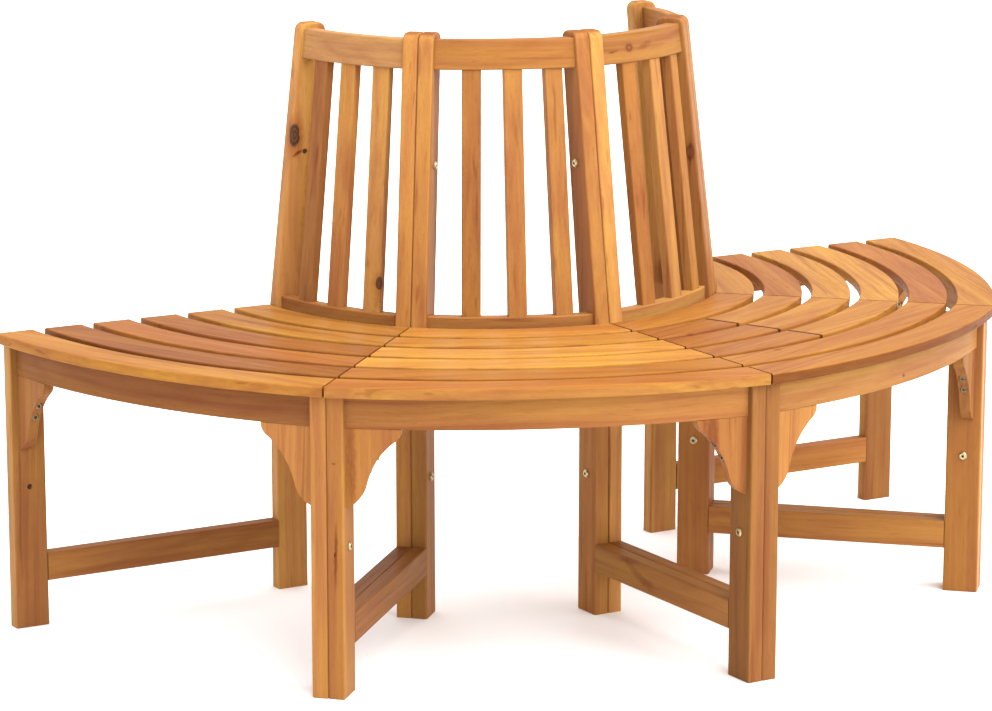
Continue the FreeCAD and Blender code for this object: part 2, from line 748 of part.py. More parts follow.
# ---------------------------------------------------------------- the bench
LETTER = {1: "a", 2: "b", 3: "c", 4: "d"}
screws = []
for m in (1, 2, 3, 4):
    x = LETTER[m]
    for word, k, side in (("left", m, 1), ("right", m + 1, -1)):
        n = "front_leg_%s_%s" % (word, x)
        node(front_leg(n, k, side), n)
        n = "back_post_%s_%s" % (word, x)
        node(back_post(n, k, side), n)
        n = "stretcher_%s_%s" % (word, x)
        node(side_board(n, k, side, stretch_low, stretch_low + stretch_high, small_ease), n)
        n = "bearer_%s_%s" % (word, x)
        node(side_board(n, k, side, bearer_low, leg_high, fine_ease), n)
    node(front_apron("front_apron_%s" % x, m), "front_apron_%s" % x)
    slats = []
    for i in range(1, 7):
        if m == 3 and i in (2, 3, 4):
            slats += split_slat("seat_slat_%s%d" % (x, i), m, i)
        else:
            slats.append(seat_slat("seat_slat_%s%d" % (x, i), m, i))
    node(group("seat_slats_%s" % x, slats), "seat_slats_%s" % x)
    node(bottom_rail("back_bottom_rail_%s" % x, m), "back_bottom_rail_%s" % x)
    node(top_rail("back_top_rail_%s" % x, m), "back_top_rail_%s" % x)
    node(group("back_slats_%s" % x,
               [back_slat("back_slat_%s%d" % (x, i + 1), m, d)
                for i, d in enumerate(BACK_SLAT_AT[m])]), "back_slats_%s" % x)
    pair = []
    for word, k, side in (("left", m, 1), ("right", m + 1, -1)):
        pair.append(bracket("corner_bracket_%s_%s" % (word, x), k, side))
        for j, (z, s) in enumerate(zip(SCREW_Z, SCREW_S)):
            sname = "bracket_screw_%s_%s%d" % (word, x, j + 1)
            ln = dim(sname + "_length", s - screw_sunk.v + 17.0)
            sc = bracket_screw(sname, ln)
            pos, out = on_board(k, side, s - screw_sunk.v, z)
            sc.Placement = FreeCAD.Placement(pos, FreeCAD.Rotation(V(0, 0, 1), out))
            screws.append(sc)
    node(group("corner_brackets_%s" % x, pair), "corner_brackets_%s" % x)

bolts, nuts = [], []
# the heads face module b at joint 2 and joint 3, and module c at joint 4
for k, side in ((2, 1), (3, -1), (4, -1)):
    spots = [(hole_front.v, hole_z.v), (inner_r[k].v - hole_in.v, hole_z.v),
             (post_front(k, hole_top_z).v - hole_in.v, hole_top_z.v)]
    for j, (r, z) in enumerate(spots):
        bt = joint_bolt("joint_bolt_%d%d" % (k, j + 1))
        set_along(bt, k, r, side * leg_thick.v, z, side)
        bolts.append(bt)
        nt = joint_nut("joint_nut_%d%d" % (k, j + 1))
        set_along(nt, k, r, -side * leg_thick.v, z, -side)
        nuts.append(nt)
node(group("joint_bolts", bolts), "joint_bolts")
node(group("joint_nuts", nuts), "joint_nuts")
node(group("bracket_screws", screws), "bracket_screws")

# a bearer under the butt joints of module c's short slats
bx = doc.addObject("Part::Box", "centre_bearer")
x0, x1 = 378.0, 744.0
bx.Length = x1 - x0
bx.Width = cb_wide.v
bx.setExpression("Width", cb_wide.e)
bx.Height = (leg_high - cb_low).v
bx.setExpression("Height", (leg_high - cb_low).e)
a = math.radians(joint_angle(3) + module_angle.v / 2)
u = V(math.cos(a), math.sin(a), 0)
t = V(-math.sin(a), math.cos(a), 0)
bx.Placement = FreeCAD.Placement(V(0, RING_Y, cb_low.v) + u * x0 + t * (-seam_off.v - cb_wide.v / 2),
                                 FreeCAD.Rotation(V(0, 0, 1), math.degrees(a)))
node(group("centre_bearer_c", [bx]), "centre_bearer_c")

# ------------------------------------------------------------------- checks
doc.recompute()
for share in (0.87, 0.76, 0.6):
    again = [(f, q) for f, q in eased if not f.Shape.isValid()]
    if not again:
        break
    for f, q in again:
        print("finer ease:", f.Name, share)
        f.setExpression("Radius", (q * share).e)
    doc.recompute()
bad = []
for o in doc.Objects:
    if "Invalid" in o.State or "Error" in o.State:
        bad.append(o.Name + " " + ",".join(o.State))
seen = set()
for name, o in nodes:
    sh = o.Shape
    if sh.isNull() or not sh.isValid() or not sh.Solids:
        bad.append(name + " shape")
    if name in seen or len(name) > 59:
        bad.append(name + " name")
    seen.add(name)
if len(nodes) > 60:
    bad.append("too many nodes")
if bad:
    raise RuntimeError("; ".join(bad))

box = FreeCAD.BoundBox()
total = 0
for name, o in nodes:
    o.Shape.exportStep("parts/%s.step" % name)
    box.add(o.Shape.BoundBox)
    total += len(o.Shape.Solids)
print("nodes", len(nodes), "solids", total)
print("box", [round(v, 2) for v in (box.XMin, box.YMin, box.ZMin, box.XMax, box.YMax, box.ZMax)])
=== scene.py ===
import bpy
import math
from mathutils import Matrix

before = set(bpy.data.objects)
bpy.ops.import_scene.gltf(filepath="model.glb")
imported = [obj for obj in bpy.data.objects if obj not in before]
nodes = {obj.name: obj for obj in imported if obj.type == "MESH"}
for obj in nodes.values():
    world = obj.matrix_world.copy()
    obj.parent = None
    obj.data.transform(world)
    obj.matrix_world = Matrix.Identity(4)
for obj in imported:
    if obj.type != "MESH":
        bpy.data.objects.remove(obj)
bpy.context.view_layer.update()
scene = bpy.context.scene
RING_Y = 0.4                      # centre of the ring, behind the origin


# ------------------------------------------------------------------ camera
cam_data = bpy.data.cameras.new("camera")
cam_data.sensor_width = 36.0
cam_data.lens = 3567.9 / 992 * 36.0
cam_data.shift_x = 0.0
cam_data.shift_y = 0.0
cam_data.clip_end = 60
cam = bpy.data.objects.new("camera", cam_data)
cam.location = (-2.726, -4.697 + RING_Y, 1.445)
cam.rotation_euler = (math.radians(90 - 11.7), 0, math.radians(-30.45))
scene.collection.objects.link(cam)
scene.camera = cam


# ------------------------------------------------------- small node helpers
class Tree:
    """Short names for building a shader tree."""

    def __init__(self, tree):
        self.t = tree
        self.x = 0

    def node(self, kind, **props):
        n = self.t.nodes.new(kind)
        self.x += 40
        n.location = (self.x, -(self.x % 400))
        for k, v in props.items():
            setattr(n, k, v)
        return n

    def link(self, a, b):
        self.t.links.new(a, b)

    def set(self, sock, v):
        if isinstance(v, bpy.types.NodeSocket):
            self.link(v, sock)
        else:
            sock.default_value = v

    def math(self, op, a, b=None, c=None, clamp=False):
        n = self.node("ShaderNodeMath", operation=op, use_clamp=clamp)
        self.set(n.inputs[0], a)
        if b is not None:
            self.set(n.inputs[1], b)
        if c is not None:
            self.set(n.inputs[2], c)
        return n.outputs[0]

    def vmath(self, op, a, b=None):
        n = self.node("ShaderNodeVectorMath", operation=op)
        self.set(n.inputs[0], a)
        if b is not None:
            self.set(n.inputs[1], b)
        return n.outputs["Vector"] if op not in ("LENGTH", "DOT_PRODUCT", "DISTANCE") else n.outputs["Value"]

    def mix(self, fac, a, b, blend="MIX"):
        n = self.node("ShaderNodeMix", data_type="RGBA", blend_type=blend)
        n.clamp_factor = True
        self.set(n.inputs[0], fac)
        self.set(n.inputs[6], a)
        self.set(n.inputs[7], b)
        return n.outputs[2]

    def noise(self, vec, scale, detail=2.0, rough=0.5, distort=0.0):
        n = self.node("ShaderNodeTexNoise", noise_dimensions="3D")
        self.link(vec, n.inputs["Vector"])
        n.inputs["Scale"].default_value = scale
        n.inputs["Detail"].default_value = detail
        n.inputs["Roughness"].default_value = rough
        n.inputs["Distortion"].default_value = distort
        return n.outputs["Fac"]

    def ramp(self, fac, stops, interp="LINEAR"):
        n = self.node("ShaderNodeValToRGB")
        cr = n.color_ramp
        cr.interpolation = interp
        while len(cr.elements) < len(stops):
            cr.elements.new(0.5)
        for e, (p, c) in zip(cr.elements, stops):
            e.position = p
            e.color = c if len(c) == 4 else (*c, 1)
        self.link(fac, n.inputs[0])
        return n.outputs["Color"]

    def span(self, v, a, b, c=0.0, d=1.0, smooth=False):
        n = self.node("ShaderNodeMapRange")
        n.interpolation_type = "SMOOTHSTEP" if smooth else "LINEAR"
        self.link(v, n.inputs["Value"])
        n.inputs["From Min"].default_value = a
        n.inputs["From Max"].default_value = b
        n.inputs["To Min"].default_value = c
        n.inputs["To Max"].default_value = d
        return n.outputs["Result"]

    def combine(self, x, y, z):
        n = self.node("ShaderNodeCombineXYZ")
        for i, v in enumerate((x, y, z)):
            self.set(n.inputs[i], v)
        return n.outputs[0]

    def separate(self, v):
        n = self.node("ShaderNodeSeparateXYZ")
        self.link(v, n.inputs[0])
        return n.outputs[0], n.outputs[1], n.outputs[2]


def lin(r, g, b):
    """Screen colour 0..255 to a linear colour."""
    out = []
    for v in (r, g, b):
        v /= 255.0
        out.append(v / 12.92 if v <= 0.04045 else ((v + 0.055) / 1.055) ** 2.4)
    return (*out, 1.0)


def scaled(c, k):
    return (c[0] * k, c[1] * k, c[2] * k, 1.0)


# ------------------------------------------------------------------- woods
def wood_group():
    """Oiled hardwood. Grain runs along X of the vector that comes in, metres."""
    g = bpy.data.node_groups.new("oiled_wood", "ShaderNodeTree")
    face = g.interface
    for name, kind, default in (
            ("Vector", "NodeSocketVector", None), ("Base", "NodeSocketColor", (0.6, 0.3, 0.1, 1)),
            ("Seed", "NodeSocketFloat", 0.0), ("Streaks", "NodeSocketFloat", 1.0),
            ("Flame", "NodeSocketFloat", 1.0), ("Red", "NodeSocketFloat", 0.0),
            ("End", "NodeSocketFloat", 0.0), ("Wear", "NodeSocketFloat", 0.0)):
        s = face.new_socket(name, in_out="INPUT", socket_type=kind)
        if default is not None:
            s.default_value = default
    face.new_socket("Colour", in_out="OUTPUT", socket_type="NodeSocketColor")
    face.new_socket("Roughness", in_out="OUTPUT", socket_type="NodeSocketFloat")
    face.new_socket("Height", in_out="OUTPUT", socket_type="NodeSocketFloat")
    t = Tree(g)
    gin = t.node("NodeGroupInput")
    gout = t.node("NodeGroupOutput")
    vec, base, seed = gin.outputs["Vector"], gin.outputs["Base"], gin.outputs["Seed"]
    off = t.combine(t.math("MULTIPLY", seed, 3.17), t.math("MULTIPLY", seed, 1.31),
                    t.math("MULTIPLY", seed, 2.23))
    p = t.vmath("ADD", vec, off)
    # gentle wander of the grain
    wob = t.node("ShaderNodeTexNoise", noise_dimensions="3D")
    t.link(t.vmath("MULTIPLY", p, (3.2, 6.0, 6.0)), wob.inputs["Vector"])
    wob.inputs["Scale"].default_value = 1.0
    wob.inputs["Detail"].default_value = 1.0
    shift = t.vmath("MULTIPLY", t.vmath("SUBTRACT", wob.outputs["Color"], (0.5, 0.5, 0.5)),
                    (0.0, 0.020, 0.020))
    q = t.vmath("ADD", p, shift)

    # long stripes of yellow and of red wood, 8 to 20 mm wide
    stripe = t.span(t.noise(t.vmath("MULTIPLY", q, (0.8, 62.0, 62.0)), 1.0, 2.0, 0.55), 0.36, 0.64)
    blotch = t.span(t.noise(t.vmath("MULTIPLY", q, (3.4, 19.0, 19.0)), 1.0, 2.0, 0.5), 0.34, 0.66, smooth=True)
    hue = t.math("ADD", t.math("MULTIPLY", stripe, 0.58), t.math("MULTIPLY", blotch, 0.42))
    hue = t.math("ADD", hue, gin.outputs["Red"], clamp=True)
    yellow = t.mix(1.0, base, (1.09, 1.16, 1.00, 1), "MULTIPLY")
    red = t.mix(1.0, base, (0.87, 0.78, 0.88, 1), "MULTIPLY")
    c = t.mix(t.span(hue, 0.12, 0.52, smooth=True), yellow, base)
    c = t.mix(t.span(hue, 0.48, 0.90, smooth=True), c, red)

    # annual rings cut flat: contour lines of a smooth field, long flames
    field = t.noise(t.vmath("MULTIPLY", q, (1.5, 11.0, 11.0)), 1.0, 1.0, 0.4)
    rings = t.span(t.math("SINE", t.math("MULTIPLY", field, 92.0)), -1.0, 1.0)
    rings = t.math("POWER", rings, 2.2)
    soft_dark = t.mix(1.0, c, (0.74, 0.62, 0.56, 1), "MULTIPLY")
    c = t.mix(t.math("MULTIPLY", t.math("MULTIPLY", rings, gin.outputs["Flame"]), 0.22), c, soft_dark)

    # narrow streaks, darker and lighter
    streak = t.noise(t.vmath("MULTIPLY", q, (1.6, 190.0, 190.0)), 1.0, 3.0, 0.6)
    c = t.mix(t.math("MULTIPLY", t.span(streak, 0.50, 0.72), 0.30), c, soft_dark)
    pale = t.mix(1.0, c, (1.16, 1.22, 1.26, 1), "MULTIPLY")
    c = t.mix(t.math("MULTIPLY", t.span(streak, 0.50, 0.28), 0.42), c, pale)
    line = t.noise(t.vmath("MULTIPLY", q, (2.4, 120.0, 120.0)), 1.0, 1.0, 0.5, 0.25)
    line = t.math("MULTIPLY", t.span(line, 0.645, 0.74, smooth=True), gin.outputs["Streaks"])
    dark = t.mix(1.0, base, (0.50, 0.34, 0.32, 1), "MULTIPLY")
    c = t.mix(t.math("MULTIPLY", line, 0.50), c, dark)

    # silk of the fibres across the board, fine fibres and open pores
    silk = t.noise(t.vmath("MULTIPLY", p, (26.0, 9.0, 9.0)), 1.0, 2.0, 0.5)
    c = t.mix(t.math("MULTIPLY", t.span(silk, 0.45, 0.7), 0.16), c, pale)
    fibre = t.noise(t.vmath("MULTIPLY", q, (10.0, 640.0, 640.0)), 1.0, 2.0, 0.6)
    c = t.mix(t.math("MULTIPLY", t.span(fibre, 0.45, 0.75), 0.22), c, soft_dark)
    pores = t.span(t.noise(t.vmath("MULTIPLY", q, (42.0, 1300.0, 1300.0)), 1.0, 1.0, 0.5), 0.60, 0.74)
    c = t.mix(t.math("MULTIPLY", pores, 0.34), c, dark)

    # sawn ends: darker, with the rings seen end on
    ends = t.noise(t.vmath("MULTIPLY", p, (20.0, 900.0, 900.0)), 1.0, 2.0, 0.6)
    arcs = t.span(t.math("SINE", t.math("MULTIPLY", t.noise(t.vmath("MULTIPLY", p, (4.0, 26.0, 26.0)), 1.0, 1.0, 0.4), 120.0)), -1.0, 1.0)
    end_c = t.mix(1.0, base, (0.80, 0.66, 0.58, 1), "MULTIPLY")
    end_c = t.mix(t.math("MULTIPLY", arcs, 0.35), end_c, dark)
    end_c = t.mix(t.math("MULTIPLY", t.span(ends, 0.45, 0.7), 0.3), end_c, dark)
    c = t.mix(t.math("MULTIPLY", gin.outputs["End"], 0.85), c, end_c)

    # sanded arrises a little paler and patchy
    patch = t.span(t.noise(t.vmath("MULTIPLY", p, (22.0, 22.0, 22.0)), 1.0, 3.0, 0.6), 0.35, 0.65)
    worn = t.math("MULTIPLY", gin.outputs["Wear"], t.math("ADD", t.math("MULTIPLY", patch, 0.7), 0.3))
    c = t.mix(t.math("MULTIPLY", worn, 0.28), c, t.mix(1.0, c, (1.22, 1.26, 1.34, 1), "MULTIPLY"))
    t.link(c, gout.inputs["Colour"])

    rough = t.math("ADD", t.span(streak, 0.3, 0.7, 0.36, 0.47), t.span(fibre, 0.3, 0.7, -0.03, 0.04))
    rough = t.math("ADD", rough, t.math("MULTIPLY", pores, 0.12))
    rough = t.math("ADD", rough, t.math("MULTIPLY", gin.outputs["End"], 0.22))
    rough = t.math("ADD", rough, t.math("MULTIPLY", worn, 0.08))
    t.link(rough, gout.inputs["Roughness"])
    h = t.math("SUBTRACT", t.math("MULTIPLY", fibre, 0.40), t.math("MULTIPLY", pores, 0.8))
    h = t.math("SUBTRACT", h, t.math("MULTIPLY", rings, 0.12))
    h = t.math("SUBTRACT", h, t.math("MULTIPLY", t.math("MULTIPLY", ends, gin.outputs["End"]), 0.6))
    t.link(h, gout.inputs["Height"])
    return g


WOOD = wood_group()


def unit(angle):
    a = math.radians(angle)
    return (math.cos(a), math.sin(a), 0.0), (-math.sin(a), math.cos(a), 0.0)


def board_vector(t, angle, along):
    """Grain coordinates from the model's own frame.
    angle: ring angle of the board's frame in degrees; along: 'r', 't' or 'z'."""
    tc = t.node("ShaderNodeTexCoord")
    p = t.vmath("SUBTRACT", tc.outputs["Object"], (0.0, RING_Y, 0.0))
    u, w = unit(angle)
    r = t.vmath("DOT_PRODUCT", p, u)
    s = t.vmath("DOT_PRODUCT", p, w)
    _, _, z = t.separate(p)
    vec = {"r": (r, z, s), "t": (s, r, z), "z": (z, s, r)}[along]
    axis = {"r": u, "t": w, "z": (0.0, 0.0, 1.0)}[along]
    end = t.math("ABSOLUTE", t.vmath("DOT_PRODUCT", tc.outputs["Normal"], axis))
    t.facing = t.math("ABSOLUTE", t.vmath("DOT_PRODUCT", tc.outputs["Normal"], u))
    return t.combine(*vec), r, s, z, p, t.span(end, 0.75, 0.95, smooth=True)


def marks_over(t, c, vec, marks):
    """Knots and dark figures at places given in grain coordinates:
    (centre, long axis, half length, half width, kind, strength)."""
    if not marks:
        return c
    n = t.node("ShaderNodeTexNoise", noise_dimensions="3D")
    t.link(t.vmath("MULTIPLY", vec, (110.0, 150.0, 150.0)), n.inputs["Vector"])
    n.inputs["Scale"].default_value = 1.0
    n.inputs["Detail"].default_value = 2.0
    rag = t.vmath("SUBTRACT", n.outputs["Color"], (0.5, 0.5, 0.5))
    for centre, axis, long_, wide, kind, strength in marks:
        k = math.sqrt(sum(a * a for a in axis))
        axis = tuple(a / k for a in axis)
        d = t.vmath("SUBTRACT", vec, centre)
        rough = wide * {"knot": 0.55, "ring": 0.30}.get(kind, 1.1)
        d = t.vmath("ADD", d, t.vmath("MULTIPLY", rag, (rough,) * 3))
        lon = t.vmath("DOT_PRODUCT", d, axis)
        off = t.node("ShaderNodeVectorMath", operation="SCALE")
        off.inputs[0].default_value = axis
        t.link(lon, off.inputs["Scale"])
        lat = t.vmath("LENGTH", t.vmath("SUBTRACT", d, off.outputs[0]))
        lon = t.math("DIVIDE", lon, long_)
        lat = t.math("DIVIDE", lat, wide)
        dist = t.math("SQRT", t.math("ADD", t.math("MULTIPLY", lon, lon), t.math("MULTIPLY", lat, lat)))
        if kind == "knot":
            halo = t.span(dist, 0.9, 2.3, 0.60 * strength, 0.0, smooth=True)
            c = t.mix(halo, c, t.mix(1.0, c, (0.62, 0.42, 0.34, 1), "MULTIPLY"))
            ring = t.span(t.math("SINE", t.math("MULTIPLY", dist, 15.0)), -1, 1)
            core = t.span(dist, 0.85, 1.1, strength, 0.0, smooth=True)
            c = t.mix(core, c, t.mix(ring, (0.048, 0.024, 0.013, 1), (0.088, 0.045, 0.025, 1)))
        elif kind == "ring":
            halo = t.span(dist, 1.0, 2.4, 0.35 * strength, 0.0, smooth=True)
            c = t.mix(halo, c, t.mix(1.0, c, (0.66, 0.48, 0.42, 1), "MULTIPLY"))
            out = t.span(dist, 1.00, 1.50, strength, 0.0, smooth=True)
            inn = t.span(dist, 0.40, 0.72, 0.25, 1.0, smooth=True)
            c = t.mix(t.math("MULTIPLY", out, inn), c, (0.130, 0.042, 0.018, 1))
        else:
            soft = t.span(dist, 0.3, 1.15, strength, 0.0, smooth=True)
            c = t.mix(soft, c, t.mix(1.0, c, (0.46, 0.27, 0.26, 1), "MULTIPLY"))
    return c


def arris(t, spans):
    """0..1 near the sharp edges of a board whose faces lie at the given coordinates."""
    ds = []
    for v, lo, hi in spans:
        a = t.math("ABSOLUTE", t.math("SUBTRACT", v, (lo + hi) / 2))
        ds.append(t.math("ABSOLUTE", t.math("SUBTRACT", (hi - lo) / 2, a)))
    if len(ds) == 2:
        d = t.math("MAXIMUM", ds[0], ds[1])
    else:
        a, b, k = ds
        d = t.math("MAXIMUM", t.math("MINIMUM", a, b), t.math("MINIMUM", t.math("MAXIMUM", a, b), k))
    return t.span(d, 0.0010, 0.0042, 1.0, 0.0, smooth=True)


def wood(name, angle, along, base, seed, streaks=1.0, flame=1.0, red=0.0, marks=(), tones=None,
         bump=0.30, faces=None, follow=0.0):
    """tones: None, or a function (tree, r, s, z, p) -> (colour, number, wear) that replaces base.
    faces: {'r': (lo, hi), 's': ..., 'z': ...}, the planes of the board's faces."""
    m = bpy.data.materials.new(name)
    m.use_nodes = True
    m.node_tree.nodes.clear()
    t = Tree(m.node_tree)
    out = t.node("ShaderNodeOutputMaterial")
    sh = t.node("ShaderNodeBsdfPrincipled")
    vec, r, s, z, p, end = board_vector(t, angle, along)
    g = t.node("ShaderNodeGroup")
    g.node_tree = WOOD
    if follow:
        # the grain partly follows the curve of the board
        x, y, _ = t.separate(p)
        ring = t.math("SQRT", t.math("ADD", t.math("MULTIPLY", x, x), t.math("MULTIPLY", y, y)))
        ring = t.math("ADD", t.math("MULTIPLY", ring, follow), t.math("MULTIPLY", r, 1.0 - follow))
        t.link(t.combine(s, ring, z), g.inputs["Vector"])
    else:
        t.link(vec, g.inputs["Vector"])
    wear = None
    if tones is None:
        g.inputs["Base"].default_value = base
        g.inputs["Seed"].default_value = seed
    else:
        colour, which, wear = tones(t, r, s, z, p)
        t.link(colour, g.inputs["Base"])
        t.link(t.math("ADD", t.math("MULTIPLY", which, 1.7), seed), g.inputs["Seed"])
    if faces:
        wear = arris(t, [({"r": r, "s": s, "z": z}[k], lo, hi) for k, (lo, hi) in faces.items()])
    if wear is not None:
        t.link(wear, g.inputs["Wear"])
    t.link(end, g.inputs["End"])
    g.inputs["Streaks"].default_value = streaks
    g.inputs["Flame"].default_value = flame
    g.inputs["Red"].default_value = red
    c = marks_over(t, g.outputs["Colour"], vec, marks)
    t.link(c, sh.inputs["Base Color"])
    t.link(g.outputs["Roughness"], sh.inputs["Roughness"])
    sh.inputs["Specular IOR Level"].default_value = 0.03
    b = t.node("ShaderNodeBump")
    b.inputs["Strength"].default_value = bump
    b.inputs["Distance"].default_value = 0.0005
    t.link(g.outputs["Height"], b.inputs["Height"])
    t.link(b.outputs["Normal"], sh.inputs["Normal"])
    t.link(sh.outputs[0], out.inputs["Surface"])
    return m


def dress(node, mat):
    o = nodes[node]
    o.data.materials.clear()
    o.data.materials.append(mat)


# Tones of the boards, from straw yellow to umber, linear.
K = 0.495
GOLD = scaled((0.700, 0.328, 0.097), K)
HONEY = scaled((0.620, 0.268, 0.077), K)
ORANGE = scaled((0.580, 0.230, 0.067), K)
AMBER = scaled((0.480, 0.194, 0.060), K)
ROSE = scaled((0.500, 0.184, 0.066), K)
CLAY = scaled((0.430, 0.159, 0.056), K)
UMBER = scaled((0.370, 0.138, 0.045), K)
DUSKY = scaled((0.700, 0.345, 0.132), K)

JOINT = {1: 180.0, 2: 225.0, 3: 270.0, 4: 315.0, 5: 360.0}
MODULE = {"a": 1, "b": 2, "c": 3, "d": 4}
PITCH = {1: 76.2, 2: 73.2, 3: 70.9, 4: 73.2, 5: 76.2}
INNER = {1: 0.3596, 2: 0.3745, 3: 0.3881, 4: 0.3745, 5: 0.3596}


def slat_tones(x, colours, rim_shading=None):
    """Colour by slat number, 1 inner to 6 outer, worked out from radius and ring angle; the third argument:
    factors for the colour of the outermost edge face, painted shade where under 1 and painted light where over 1."""
    m = MODULE[x]
    pa, pb = PITCH[m] / 1000, PITCH[m + 1] / 1000

    def make(t, r, s, z, p):
        px, py, _ = t.separate(p)
        rad = t.math("SQRT", t.math("ADD", t.math("MULTIPLY", px, px), t.math("MULTIPLY", py, py)))
        ang = t.math("ARCTAN2", s, r)                       # from the module's axis
        f = t.math("ADD", t.math("DIVIDE", ang, math.radians(45.0)), 0.5)
        pitch = t.math("ADD", t.math("MULTIPLY", f, pb - pa), pa)
        edge = t.math("SUBTRACT", t.math("MULTIPLY", f, 2.0), 1.0)
        bow = t.math("MULTIPLY", t.math("SUBTRACT", 1.0, t.math("MULTIPLY", edge, edge)), 0.0062)
        n = t.math("DIVIDE", t.math("SUBTRACT", 0.7706, t.math("ADD", rad, bow)), pitch)
        whole = t.math("ROUND", n)                          # 0 outer .. 5 inner
        # the flat tops are a little deeper in colour than the upright boards
        deep = [(c[0] * 0.97, c[1] * 0.94, c[2] * 0.64, 1.0) for c in colours]
        stops = [((i - 0.5) / 6.0 if i else 0.0, deep[5 - i]) for i in range(6)]
        col = t.ramp(t.math("DIVIDE", whole, 6.0), stops, "CONSTANT")
        # painted light and shade on the front edge face of the outer slat
        if rim_shading:
            outer = t.math("MULTIPLY", t.math("LESS_THAN", n, -0.34), t.span(z, 0.4368, 0.4352))
            col = t.mix(outer, col, t.mix(1.0, col, (*rim_shading, 1), "MULTIPLY"))
        side = t.math("MULTIPLY", t.math("ABSOLUTE", t.math("SUBTRACT", n, whole)), pitch)
        wear = arris(t, [(side, -0.0294, 0.0294), (z, 0.4223, 0.4375)])
        return col, whole, wear
    return make


def split_tones(x, colours, left, rim_shading=None):
    """As slat_tones; slats 2 to 4 have another colour on the left of the seam."""
    base = slat_tones(x, colours, rim_shading)
    other = slat_tones(x, left, rim_shading)

    def make(t, r, s, z, p):
        a, n, wear = base(t, r, s, z, p)
        b, _, _ = other(t, r, s, z, p)
        side = t.math("LESS_THAN", s, -0.036)
        col = t.mix(side, a, b)
        mid = t.math("MULTIPLY", t.math("GREATER_THAN", n, 1.5), t.math("LESS_THAN", n, 4.5))
        n = t.math("ADD", n, t.math("MULTIPLY", t.math("MULTIPLY", side, mid), 9.3))
        # dark line of the butt joints
        line = t.span(t.math("ABSOLUTE", t.math("ADD", s, 0.036)), 0.0030, 0.0050, 1.0, 0.0, smooth=True)
        col = t.mix(t.math("MULTIPLY", line, mid), col, t.mix(1.0, col, (0.50, 0.40, 0.34, 1), "MULTIPLY"))
        return col, n, wear
    return make


def upright_tones(x, degs, colours):
    """Colour by back slat, from the ring angle."""
    m = MODULE[x]
    cut1 = math.radians((degs[0] + degs[1]) / 2 - 22.5)
    cut2 = math.radians((degs[1] + degs[2]) / 2 - 22.5)

    def make(t, r, s, z, p):
        ang = t.math("ARCTAN2", s, r)
        one = t.math("GREATER_THAN", ang, cut1)
        two = t.math("GREATER_THAN", ang, cut2)
        n = t.math("ADD", one, two)
        c = t.mix(one, colours[0], colours[1])
        c = t.mix(two, c, colours[2])
        return c, n, None
    return make


def sided(front, side, under_seat_shading=None):
    """One tone on the faces across the radius, another on the faces along it; the two tones differ partly in the
    board's own colour and partly as painted shade on the faces that the light misses. The third argument: factors
    of the two tones for the part under the seat, painted shade below the seat where under 1 and painted light
    where over 1."""

    def make(t, r, s, z, p):
        across = t.span(t.facing, 0.55, 0.85)
        c = t.mix(across, side, front)
        # painted shading: the part under the seat takes scaled copies of the two tones
        if under_seat_shading:
            under = t.mix(across, scaled(side, under_seat_shading[1]), scaled(front, under_seat_shading[0]))
            c = t.mix(t.span(z, 0.37, 0.43), under, c)
        return c, 0.0, None
    return make


def fading_painted_light(left, right, half):
    """A tone that changes from one end of a curved board to the other, used as painted light and shade: darker at
    one end, lighter at the other.
    """

    def make(t, r, s, z, p):
        return t.mix(t.span(s, -half, half, smooth=True), left, right), 0.0, None
    return make


def pair_tones(colours):
    """Colour by side of the module, for the two brackets."""

    def make(t, r, s, z, p):
        n = t.math("GREATER_THAN", s, 0.0)
        return t.mix(n, colours[0], colours[1]), t.math("MULTIPLY", n, 3.1), None
    return make


# a red band along the second slat of module a
A_BAND = tuple(((x, y, 0.4375), (1.0, d, 0), 0.040, w, "streak", k) for x, y, d, w, k in (
    (-0.1400, 0.4420, 0.30, 0.0070, 0.22), (-0.0870, 0.4530, 0.20, 0.0090, 0.34),
    (-0.0380, 0.4610, 0.08, 0.0100, 0.38), (0.0150, 0.4650, -0.02, 0.0100, 0.34),
    (0.0600, 0.4630, -0.13, 0.0080, 0.24)))

# Slats from the inner one, 1, to the outer one, 6.
SEAT = {
    "a": [HONEY, scaled(HONEY, 0.94), scaled(CLAY, 1.05), scaled(CLAY, 1.22), scaled(CLAY, 0.95), HONEY],
    "b": [scaled(HONEY, 1.18), scaled(HONEY, 1.04), scaled(GOLD, 1.1), scaled(GOLD, 1.08),
          scaled(ORANGE, 0.96), scaled(ORANGE, 1.08)],
    "c": [ORANGE, HONEY, HONEY, HONEY, ORANGE, scaled(ORANGE, 0.98)],
    "d": [scaled(HONEY, 0.97), ROSE, scaled(GOLD, 0.97), GOLD, scaled(ROSE, 1.08), HONEY],
}
# Factors for the front edge face of the outer slat: painted shade on a, c and d, painted light on b.
RIM_SHADING = {"a": (0.95, 0.92, 1.0), "b": (1.02, 1.17, 1.45), "c": (0.50, 0.43, 0.55), "d": (0.9, 0.86, 0.9)}
SEAT_MARKS = {
    "a": A_BAND,
    "c": (((-0.1629, 0.656, 0.4375), (1, 0.2, 0), 0.011, 0.0045, "streak", 0.75),),
}
for x in "abcd":
    mid = JOINT[MODULE[x]] + 22.5
    tones = slat_tones(x, SEAT[x], RIM_SHADING[x])
    if x == "c":
        tones = split_tones(x, SEAT[x], [ORANGE, ROSE, ROSE, ROSE, ORANGE, scaled(ORANGE, 0.98)], RIM_SHADING[x])
    dress("seat_slats_" + x, wood("seat_wood_" + x, mid, "t", HONEY, 3.1 * MODULE[x], tones=tones,
                                  flame=0.8, marks=SEAT_MARKS.get(x, ())))

